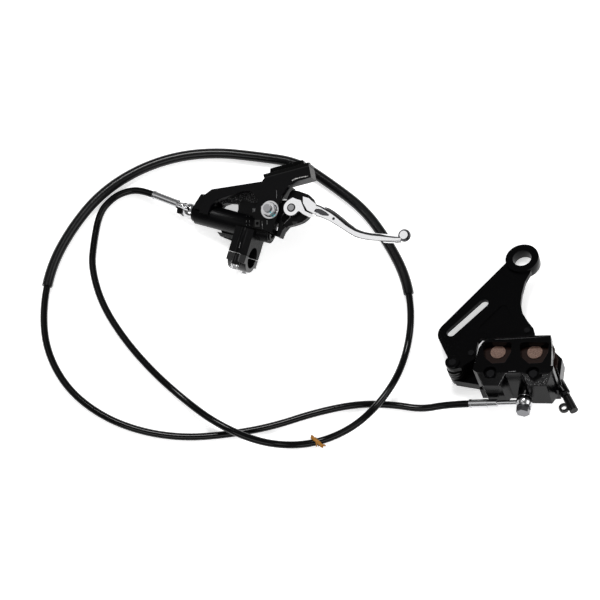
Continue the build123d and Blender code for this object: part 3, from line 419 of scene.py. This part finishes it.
def strand_point(phase, share, splay):
    """A point of one strand, at a share of half the bundle's length from its middle."""
    up = Vector(UP)
    across = TIE_LAY.cross(up)
    twist = phase + share * STRAND_WIND
    height = (HOSE_R + STRAND_LIFT) * math.cos(min(1.0, abs(share)) * STRAND_SAG)
    past = max(0.0, abs(share) - STRAND_SPREAD_FROM)
    spread = splay * past * STRAND_SPREAD * (1 if share > 0 else -1)
    sideways = across * (math.cos(twist) * STRAND_R + spread)
    return tie_at + TIE_LAY * share * TIE_HALF + sideways + up * (height + math.sin(twist) * STRAND_RISE)


def build_tie(bm):
    """A wound bundle of paper-covered wire laid over the hose, with one turn round it and loose ends."""
    loop = [tie_loop_point(k / TIE_LOOP_STEPS) for k in range(TIE_LOOP_STEPS + 1)]
    tube_along(bm, loop, TIE_LOOP_R, WIRE_SIDES)
    for phase, start, end, splay in TIE_STRANDS:
        shares = [start + (end - start) * k / STRAND_STEPS for k in range(STRAND_STEPS + 1)]
        tube_along(bm, [strand_point(phase, share, splay) for share in shares], STRAND_R, WIRE_SIDES)


tie = add_mesh("tie", build_tie, OCHRE, "root")
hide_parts("twist_tie")


# Lever blade, in the lever frame
BLADE_STATIONS = [
    ((43.0, 18.8), (43.6, 18.3), (45.0, 16.5), (48.0, 7.1), (47.5, 6.6)),
    ((47.6, 18.5), (48.2, 18.0), (49.7, 16.1), (52.5, 7.0), (52.0, 6.7)),
    ((53.2, 18.5), (54.3, 16.7), (55.8, 14.4), (58.3, 6.3), (57.8, 5.9)),
    ((59.1, 17.8), (60.3, 15.4), (61.9, 12.9), (64.2, 5.3), (63.8, 4.9)),
    ((65.2, 16.0), (66.4, 13.6), (68.2, 10.6), (70.4, 3.6), (69.9, 3.1)),
    ((71.6, 13.5), (72.8, 11.1), (74.7, 7.7), (76.5, 1.7), (76.0, 1.3)),
    ((78.0, 10.8), (79.2, 8.4), (81.1, 4.8), (82.7, -0.2), (82.2, -0.7)),
    ((84.5, 7.7), (85.5, 5.9), (87.3, 2.7), (88.8, -2.0), (88.3, -2.6)),
    ((90.7, 5.6), (91.5, 4.4), (93.3, 1.2), (94.8, -3.5), (94.3, -4.1)),
    ((96.6, 4.5), (97.3, 3.5), (99.0, 0.7), (100.4, -3.9), (99.9, -4.4)),
    ((102.3, 3.9), (102.9, 3.2), (104.5, 0.7), (105.8, -3.7), (105.4, -4.2)),
    ((109.8, 4.4), (110.5, 3.7), (112.0, 1.2), (113.2, -2.9), (112.8, -3.3)),
    ((118.2, 5.6), (118.8, 5.1), (120.3, 2.5), (121.5, -1.5), (121.0, -1.8)),
    ((126.5, 7.0), (127.5, 5.3), (128.7, 3.6), (129.7, 0.3), (129.2, 0.2)),
    ((134.0, 7.6), (134.8, 6.3), (136.0, 4.6), (136.8, 1.9), (136.3, 1.7)),
    ((140.4, 8.6), (141.0, 7.4), (141.8, 6.2), (142.4, 4.4), (142.0, 4.1)),
]
BLADE_LEVELS = (-9.0, -7.5, -5.0, -5.0, -7.0)
BLADE_UNDER = -14.5
TOP_TUCK = 1.2
LOW_TUCK = 1.5
# Faces of each station's ring that take the painted dark reflection
BEVEL_STRIPS = (1, 3)
NECK_PLATE = [(13.0, 13.9), (17.9, 18.9), (23.0, 18.2), (27.2, 18.1), (29.8, 14.7), (35.1, 8.5), (46.0, 6.5),
              (40.0, 3.7), (34.0, 5.0), (28.8, 7.0), (24.1, 4.1), (20.0, 2.0)]
NECK_FACET = [(28.2, 22.4), (35.1, 22.3), (43.4, 18.3), (48.0, 14.0), (47.0, 7.6), (37.2, 9.5), (30.4, 15.6)]
RECESS = [(44.7, 10.3), (45.4, 12.6), (47.0, 13.8), (49.6, 14.3), (52.5, 14.2), (57.2, 12.9), (61.3, 11.1),
          (61.6, 10.2), (60.7, 9.4), (55.4, 8.6), (52.4, 8.7), (49.5, 9.6)]
LIP = [(121.5, 0.2), (127.9, 2.4), (134.0, 3.4), (138.5, 6.0), (141.9, 3.0), (134.5, 0.2), (128.8, -1.0),
       (124.1, -1.8)]
LIP_UNDER = -12.5
LIP_TOP = -8.2
SLIT = [(27.5, 22.6), (29.8, 15.6), (36.7, 9.0), (47.0, 6.9), (47.2, 7.8), (37.3, 9.8), (30.7, 16.0),
        (28.4, 22.9)]
BALL_MIDDLE = (143.0, 10.2, -10.6)
BALL_R = 6.5
BALL_STEPS = 24
BALL_CUT = 4.5
BALL_TOP = (4.75, 4.4)
FLAT_MIDDLE = (143.4, 10.0)
FLAT_UNDER = -8.0
FLAT_TOP = -5.5
FLAT_R = 4.2
EYE_AT = (19.5, 8.3)
EYE_R = 8.2
EYE_HOLE_R = 3.35
EYE_SINK_R = 4.5
EYE_TOP = -5.0
EYE_UNDER = -9.4
DIMPLE = (67.3, 8.2)
DIMPLE_R = 1.5

# Heights over and depths under the eye's top, and how far a cutter stands out of what it cuts
FACET_RISE = 0.6
FACET_UNDER = -12.0
RECESS_DEPTH = 0.8
SLIT_DEPTH = 1.2
DIMPLE_DEPTH = 0.9
SINK_DEPTH = 1.4
CUTTER_TOP = 10
CUTTER_UNDER = -30
STAND_OUT = 3
BLADE_SHARP_ANGLE = math.radians(24)
BLADE_EDGE_ANGLE = math.radians(28)
BLADE_EDGE = 0.0003


def solid(build, into, finish_):
    """A throwaway object for booleans; its finish goes onto the faces that it cuts."""
    bm = bmesh.new()
    build(bm)
    bmesh.ops.recalc_face_normals(bm, faces=bm.faces)
    bm.transform(into)
    mesh = bpy.data.meshes.new("cut")
    bm.to_mesh(mesh)
    bm.free()
    mesh.materials.append(finish_)
    obj = bpy.data.objects.new("cut", mesh)
    bpy.context.scene.collection.objects.link(obj)
    return obj


def carve(obj, steps, into=PLAIN):
    """Joins or cuts solids in turn and keeps the result as the piece's own mesh."""
    for operation, build, finish_ in steps:
        other = solid(build, into, finish_)
        change = obj.modifiers.new("carve", "BOOLEAN")
        change.operation = operation
        change.solver = "EXACT"
        change.material_mode = "TRANSFER"
        change.object = other
        bpy.context.view_layer.update()
        graph = bpy.context.evaluated_depsgraph_get()
        done = bpy.data.meshes.new_from_object(obj.evaluated_get(graph))
        obj.modifiers.clear()
        old = obj.data
        done.name = old.name
        obj.data = done
        bpy.data.meshes.remove(old)
        cut_mesh = other.data
        bpy.data.objects.remove(other)
        bpy.data.meshes.remove(cut_mesh)


def build_grip(bm):
    """The grip as a skin over its stations, with its two bevel strips in the second finish, a near-black of
    painted dark reflection.
    """
    rings = []
    for station in BLADE_STATIONS:
        top, low = Vector(station[0]), Vector(station[-1])
        across = (low - top).normalized()
        ring = [(*at, z) for at, z in zip(station, BLADE_LEVELS)]
        ring.append((*(low - across * LOW_TUCK), BLADE_UNDER))
        ring.append((*(top + across * TOP_TUCK), BLADE_UNDER))
        rings.append([bm.verts.new(at) for at in ring])
    for left, right in zip(rings, rings[1:]):
        for i in range(len(left)):
            j = (i + 1) % len(left)
            face = bm.faces.new((left[i], left[j], right[j], right[i]))
            face.material_index = 1 if i in BEVEL_STRIPS else 0
    bm.faces.new(rings[0])
    bm.faces.new(list(reversed(rings[-1])))


ROUND_SIDES = 40
SMALL_SIDES = 24


def build_ball(bm):
    """The blade's end ball, cut flat near its top."""
    angles = [math.pi * k / BALL_STEPS for k in range(1, BALL_STEPS)]
    arc = [(-BALL_R * math.cos(t), BALL_R * math.sin(t)) for t in angles]
    turned(bm, BALL_MIDDLE, UP, [point for point in arc if point[0] < BALL_CUT] + [BALL_TOP], ROUND_SIDES)


def disc(at, low, high, radius, count=ROUND_SIDES):
    """A builder of an upright disc between two heights."""
    return lambda bm: turned(bm, (*at, low), UP, [(0, radius), (high - low, radius)], count)


def slab(outline, low, high):
    """A builder of an outline pulled between two heights."""
    return lambda bm: prism(bm, outline, low, high)


blade = add_mesh("blade", build_grip, POLISHED, "blade", into=LEVER)
blade.data.materials.append(BEVEL_PAINTED_REFLECTION)
# The ball, recess, dimple and eye hole take the dark alloy of painted shade; the slit and the eye's sink take
# the near-black of painted shade
carve(blade, [
    ("UNION", slab(NECK_PLATE, EYE_UNDER, EYE_TOP), POLISHED),
    ("UNION", slab(NECK_FACET, FACET_UNDER, EYE_TOP + FACET_RISE), POLISHED),
    ("UNION", disc(EYE_AT, EYE_UNDER, EYE_TOP, EYE_R), POLISHED),
    ("UNION", slab(LIP, LIP_UNDER, LIP_TOP), POLISHED),
    ("UNION", build_ball, PAINTED_SHADE_ALLOY),
    ("UNION", disc(FLAT_MIDDLE, FLAT_UNDER, FLAT_TOP, FLAT_R), POLISHED),
    ("DIFFERENCE", slab(RECESS, EYE_TOP - RECESS_DEPTH, EYE_TOP + STAND_OUT), PAINTED_SHADE_ALLOY),
    ("DIFFERENCE", slab(SLIT, EYE_TOP - SLIT_DEPTH, EYE_TOP + STAND_OUT), PAINTED_SHADE_BLACK),
    ("DIFFERENCE", disc(DIMPLE, EYE_TOP - DIMPLE_DEPTH, EYE_TOP + STAND_OUT, DIMPLE_R, SMALL_SIDES), PAINTED_SHADE_ALLOY),
    ("DIFFERENCE", disc(EYE_AT, EYE_TOP - SINK_DEPTH, CUTTER_TOP, EYE_SINK_R), PAINTED_SHADE_BLACK),
    ("DIFFERENCE", disc(EYE_AT, CUTTER_UNDER, CUTTER_TOP, EYE_HOLE_R), PAINTED_SHADE_ALLOY),
], LEVER)
shade(blade.data, BLADE_SHARP_ANGLE)
bevelled(blade, BLADE_EDGE, BLADE_EDGE_ANGLE)
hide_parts("lever_blade")


# Surface detail of the castings, with painted highlights, glints and light along edges and faces, and painted
# shade in hollows
# Rough casting on the caliper lobe's face and the web under the tank: the bump grain is the cast surface, the
# light grey flecks are painted glints
GLINT_FLECKED_CASTING = finish("rough_casting_painted_glints", (0.004, 0.004, 0.0044), 0.4, grain=0.9, grain_size=0.0011,
                 fleck=((0.2, 0.2, 0.2), 0.56, 0.68), specular=0.2)
# Flecked grey metal of painted highlights along the hinge, clamp, lobe and bleeder edges and round the carrier
# pocket's rim
PAINTED_EDGE_HIGHLIGHT = finish("painted_edge_highlight", (0.09, 0.09, 0.092), 0.35, metal=0.7, grain=0.4, grain_size=0.0012,
                fleck=((0.4, 0.4, 0.4), 0.5, 0.66))
# Flecked grey of painted light on black casting: a painted highlight on the claw's edge line, and painted light
# on the fin under the barrel and on the web's ribs
PAINTED_LIT_GREY = finish("painted_lit_grey", (0.05, 0.05, 0.052), 0.4, metal=0.3, grain=0.3, grain_size=0.001,
              fleck=((0.14, 0.14, 0.14), 0.5, 0.66))
TANK_EDGE = [(-80.1, 110.9, 64.3), (-76, 112.4, 65.8), (-71.9, 113, 67.3), (-67.8, 113.3, 68.7),
             (-63.7, 113.5, 70)]
HINGE_LINES = [
    [(-111.1, 72.1, 49.1), (-110.8, 67.9, 48.7), (-110.6, 63.7, 48.3)],
    [(-105.9, 72.6, 50.9), (-105.9, 67.4, 50.3)],
    [(-96.2, 102.8, 58.0), (-96.1, 98.7, 57.5), (-96.1, 94.5, 56.9)],
]
CLAMP_LINES = [
    [(-127.7, 82.2, 35.8), (-127.5, 75.6, 39.0), (-127.4, 70.1, 38.9)],
    [(-124.5, 82.3, 35.5), (-124.3, 75.3, 39.7), (-124.3, 69.8, 40.0)],
    [(-133.3, 51.5, 42.6), (-134.0, 48.5, 41.9), (-134.8, 45.4, 41.3)],
]
LOBE_LINES = [
    [(131.0, -94.3, 68.2), (134.6, -92.5, 71.0), (141.2, -92.8, 73.4)],
    [(130.5, -94.8, 67.8), (127.8, -99.6, 64.5), (125.1, -104.4, 61.1)],
]
CLAW_LINE = [(124.3, -55.3, 53.5), (138.7, -55.9, 58.6), (160.6, -56.5, 66.4), (174.8, -56.2, 71.1)]
BLEED_LINE = [(184.4, -82.6, 53.2), (187.1, -91.6, 52.3), (189.2, -102.4, 54.7)]
LOBE_FACE = [
    (146.9, -95.3, 74.4), (149.8, -101.5, 72.9), (153.2, -107.7, 71.5), (169.8, -107.4, 78.6),
    (170.6, -101.5, 81.6), (171.0, -96.5, 84.0), (166.4, -96.6, 82.0), (165.5, -99.2, 80.5),
    (165.1, -101.9, 79.1), (161.0, -104.8, 76.1), (155.9, -102.5, 75.0), (153.5, -99.1, 75.5),
    (151.8, -96.4, 76.0),
]
LOBE_NORMAL = Vector((-0.358, -0.382, 0.852))
WEB = [(-68.8, -3.4), (-52.3, 7.8), (-41.1, 13.2), (-25.6, 15.9), (-20, 5.7), (-17.6, -9), (-37.6, -14),
       (-42.3, -0.7), (-55.8, -3.3), (-59.8, -5.6)]
WEB_TOP = -14.0
WEB_THICK = 4
WEB_RIBS = [(-37.8, -0.1), (-34.5, 0.7), (-24.2, 3.1)]
WEB_FACET = [(-25.1, -1.4), (-20.8, -0.4), (-19.5, -4.4), (-23.8, -5.5)]
FIN = [(-61.0, -33.8), (-42.3, -32.8), (-41, -36.9), (-55.3, -37.6)]
FIN_TOP = -24.6
FIN_THICK = 2
BOSS = [(-13, -14.1), (-7.7, -12.7), (-5.4, -19.8), (-10.7, -21.1)]
BOSS_UNDER = -1.0
BOSS_TOP = 0.7
BOSS_HOLE = (-9.2, -16.9)
BOSS_HOLE_R = 1.7
POCKET = [(10.4, 2.0), (17.8, 2.1), (19.2, -1.3), (14.1, -10.4), (10.2, -9.4), (9.4, -4.1)]
TAB = [(22.4, -4.7), (28.4, -3.2), (28.6, -5.4), (24.6, -7.6)]
CARRIER_FACE = -11.65
CARRIER_SUNK = 0.8
CARRIER_PROUD = 0.1
POCKET_RIM = 0.55
POCKET_DEPTH = 0.05
PATCH_SUNK = 0.4


def build_lines(lines, radius):
    """A builder of thin round lines along a casting's edges, for painted highlights and glints."""
    def build(bm):
        for points in lines:
            tube_along(bm, points, radius, WIRE_SIDES)
    return build


def build_patch(points, normal, thick):
    """A builder of a thin plate over a flat place on a casting."""
    def build(bm):
        closed_skin(bm, [[bm.verts.new(Vector(at) + normal * off) for at in points]
                         for off in (-PATCH_SUNK, thick)])
    return build


add_mesh("tank_edge_glints", build_lines([TANK_EDGE], 0.55), PAINTED_GLINT_EDGE, "root")
add_mesh("hinge_lines", build_lines(HINGE_LINES, 0.28), PAINTED_EDGE_HIGHLIGHT, "root")
add_mesh("clamp_lines", build_lines(CLAMP_LINES, 0.3), PAINTED_EDGE_HIGHLIGHT, "root")
add_mesh("lobe_lines", build_lines(LOBE_LINES, 0.35), PAINTED_EDGE_HIGHLIGHT, "root")
add_mesh("claw_line", build_lines([CLAW_LINE], 0.18), PAINTED_LIT_GREY, "root")
add_mesh("bleed_line", build_lines([BLEED_LINE], 0.3), PAINTED_EDGE_HIGHLIGHT, "root")
add_mesh("lobe_face", build_patch(LOBE_FACE, LOBE_NORMAL, 0.15), GLINT_FLECKED_CASTING, "root")
add_mesh("casting_web", slab(WEB, WEB_TOP - WEB_THICK, WEB_TOP), GLINT_FLECKED_CASTING, "root", into=LEVER)
add_mesh("barrel_fin", slab(FIN, FIN_TOP - FIN_THICK, FIN_TOP), PAINTED_LIT_GREY, "root", into=LEVER)

# The web's ribs: outline round each rib's place, how deep they stand in the web, height and chamfer
RIB_OUTLINE = [(-0.5, -3.2), (0.5, -3), (0.5, 1.8), (-0.5, 1.6)]
RIB_SUNK = 1
RIB_RISE = 0.9
RIB_CHAMFER = 0.3
WEB_FACET_RISE = 1.4
WEB_FACET_CHAMFER = 0.4


def build_ribs(bm):
    """Small ribs and one raised facet on the web."""
    for x, y in WEB_RIBS:
        outline = [(x + dx, y + dy) for dx, dy in RIB_OUTLINE]
        chamfered(bm, outline, WEB_TOP - RIB_SUNK, WEB_TOP + RIB_RISE, RIB_CHAMFER)
    chamfered(bm, WEB_FACET, WEB_TOP - RIB_SUNK, WEB_TOP + WEB_FACET_RISE, WEB_FACET_CHAMFER)


add_mesh("web_ribs", build_ribs, PAINTED_LIT_GREY, "root", into=LEVER)
boss = add_mesh("hinge_boss", slab(BOSS, BOSS_UNDER, BOSS_TOP), GLOSS, "root", into=LEVER)
carve(boss, [("DIFFERENCE", disc(BOSS_HOLE, 0.0, 2.0, BOSS_HOLE_R, SMALL_SIDES), PAINTED_SHADE_BLACK)], LEVER)
carrier_heights = (CARRIER_FACE - CARRIER_SUNK, CARRIER_FACE + CARRIER_PROUD)
pocket = add_mesh("carrier_pocket", slab(POCKET, *carrier_heights), PAINTED_EDGE_HIGHLIGHT, "lever", into=LEVER)
pocket_cut = slab(inset(POCKET, POCKET_RIM), CARRIER_FACE - POCKET_DEPTH, CARRIER_FACE + 1)
carve(pocket, [("DIFFERENCE", pocket_cut, PAINTED_SHADE_BLACK)], LEVER)
add_mesh("carrier_tab", slab(TAB, *carrier_heights), GLOSS, "lever", into=LEVER)

# Marks on the pivot nut: two dark rings of painted shade, for the crease at the hex's foot and the gap round
# the bolt, each from an inner to an outer radius, and dabs of paint
NUT_FLANGE_TOP = 1.6
NUT_TOP = 7.8
FLANGE_RING = (6.9, 7.7)
TOP_RING = (3.35, 4.3)
RING_SUNK = 0.2
RING_PROUD = 0.12
RING_SIDES = 48
DABS = [(7.0, -4.1, NUT_FLANGE_TOP), (5.6, -5.6, NUT_FLANGE_TOP), (4.2, -3.3, NUT_TOP)]
DAB_PROFILE = [(0, 0.9), (0.3, 0.85), (0.42, 0.4)]
DAB_SIDES = 14


def build_ring(face, inner, outer):
    """A builder of a flat ring that stands a little out of a face."""
    low, high = face - RING_SUNK, face + RING_PROUD
    corners = ((low, inner), (low, outer), (high, outer), (high, inner))

    def build(bm):
        rings = [circle(bm, Vector((0, 0, z)), Vector((1, 0, 0)), Vector((0, 1, 0)), radius, RING_SIDES)
                 for z, radius in corners]
        skin(bm, rings + rings[:1])
    return build


def build_dabs(bm):
    """Three low dabs of paint on the nut."""
    for x, y, z in DABS:
        turned(bm, (x, y, z - RING_SUNK), UP, DAB_PROFILE, DAB_SIDES)


# Dark rings of painted shade at the hex's foot and round the bolt
add_mesh("nut_flange_shade_ring", build_ring(NUT_FLANGE_TOP, *FLANGE_RING), DARK_STEEL, "root", into=LEVER)
add_mesh("nut_top_shade_ring", build_ring(NUT_TOP, *TOP_RING), DARK_STEEL, "root", into=LEVER)
add_mesh("paint_dabs", build_dabs, CYAN, "root", into=LEVER)


# Floor, light and camera
FLOOR_GLOW = 0.55
FLOOR_HALF = 4
SKY_HEIGHTS = (0.35, 0.7)
SKY_GREYS = (0.12, 0.24)
SKY_SEEN = 0.95
LENS = 91.43
SENSOR = 36
CAMERA_AT = (-0.0719, -0.43962, 1.53802)
CAMERA_TILT = math.radians(16)

floor_mesh = bpy.data.meshes.new("floor")
floor_corners = [(x * FLOOR_HALF, y * FLOOR_HALF, 0) for x, y in ((-1, -1), (1, -1), (1, 1), (-1, 1))]
floor_mesh.from_pydata(floor_corners, [], [(0, 1, 2, 3)])
floor_mat = finish("floor", (0.92, 0.92, 0.92), 0.9, grain=0.02, grain_size=0.01, specular=0.1)
rays = floor_mat.node_tree.nodes.new("ShaderNodeLightPath")
seen = [rays.outputs[kind] for kind in ("Is Camera Ray", "Is Glossy Ray", "Is Transmission Ray")]
for kind in seen[1:]:
    either = floor_mat.node_tree.nodes.new("ShaderNodeMath")
    either.operation = "MAXIMUM"
    floor_mat.node_tree.links.new(seen[0], either.inputs[0])
    floor_mat.node_tree.links.new(kind, either.inputs[1])
    seen[0] = either.outputs[0]
level = floor_mat.node_tree.nodes.new("ShaderNodeMath")
level.operation = "MULTIPLY"
level.inputs[1].default_value = FLOOR_GLOW
floor_shader = floor_mat.node_tree.nodes["Principled BSDF"]
floor_shader.inputs["Emission Color"].default_value = (1, 1, 1, 1)
floor_mat.node_tree.links.new(seen[0], level.inputs[0])
floor_mat.node_tree.links.new(level.outputs[0], floor_shader.inputs["Emission Strength"])
floor_mesh.materials.append(floor_mat)
floor = bpy.data.objects.new("floor", floor_mesh)
bpy.context.scene.collection.objects.link(floor)

world = bpy.data.worlds.new("studio")
bpy.context.scene.world = world
world.use_nodes = True
sky_nodes, sky_links = world.node_tree.nodes, world.node_tree.links
sky_nodes["Background"].inputs["Strength"].default_value = 1.0
sky_at = sky_nodes.new("ShaderNodeTexCoord")
sky_split = sky_nodes.new("ShaderNodeSeparateXYZ")
sky_ramp = sky_nodes.new("ShaderNodeValToRGB")
for height, grey, element in zip(SKY_HEIGHTS, SKY_GREYS, sky_ramp.color_ramp.elements):
    element.position = height
    element.color = (grey, grey, grey, 1)
sky_links.new(sky_at.outputs["Generated"], sky_split.inputs["Vector"])
sky_links.new(sky_split.outputs["Z"], sky_ramp.inputs["Fac"])
sky_rays = sky_nodes.new("ShaderNodeLightPath")
sky_mix = sky_nodes.new("ShaderNodeMix")
sky_mix.data_type = "RGBA"
sky_mix.inputs["B"].default_value = (SKY_SEEN, SKY_SEEN, SKY_SEEN, 1)
sky_links.new(sky_rays.outputs["Is Camera Ray"], sky_mix.inputs["Factor"])
sky_links.new(sky_ramp.outputs["Color"], sky_mix.inputs["A"])
sky_links.new(sky_mix.outputs["Result"], sky_nodes["Background"].inputs["Color"])


def soft_light(name, at, aim, size, power):
    """A rectangular area light turned towards a point."""
    light = bpy.data.lights.new(name, "AREA")
    light.shape = "RECTANGLE"
    light.size, light.size_y = size
    light.energy = power
    obj = bpy.data.objects.new(name, light)
    obj.location = at
    obj.rotation_euler = (Vector(aim) - Vector(at)).to_track_quat("-Z", "Y").to_euler()
    bpy.context.scene.collection.objects.link(obj)


soft_light("key", (-0.4, 1.1, 1.9), (0, 0, 0), (0.5, 0.5), 24)
soft_light("side", (1.5, -0.3, 1.5), (0, 0, 0), (1.2, 1.2), 13)
soft_light("front", (-0.2, -1.6, 1.6), (0, 0, 0), (2.0, 0.8), 17)
soft_light("lever_card", (-1.3, 0.2, 1.7), (-0.1, 0.08, 0), (0.9, 0.9), 2.3)

camera = bpy.data.cameras.new("camera")
camera.lens = LENS
camera.sensor_width = SENSOR
camera_obj = bpy.data.objects.new("camera", camera)
camera_obj.location = CAMERA_AT
camera_obj.rotation_euler = (CAMERA_TILT, 0, 0)
bpy.context.scene.collection.objects.link(camera_obj)
bpy.context.scene.camera = camera_obj
bpy.context.scene.view_settings.view_transform = "Standard"
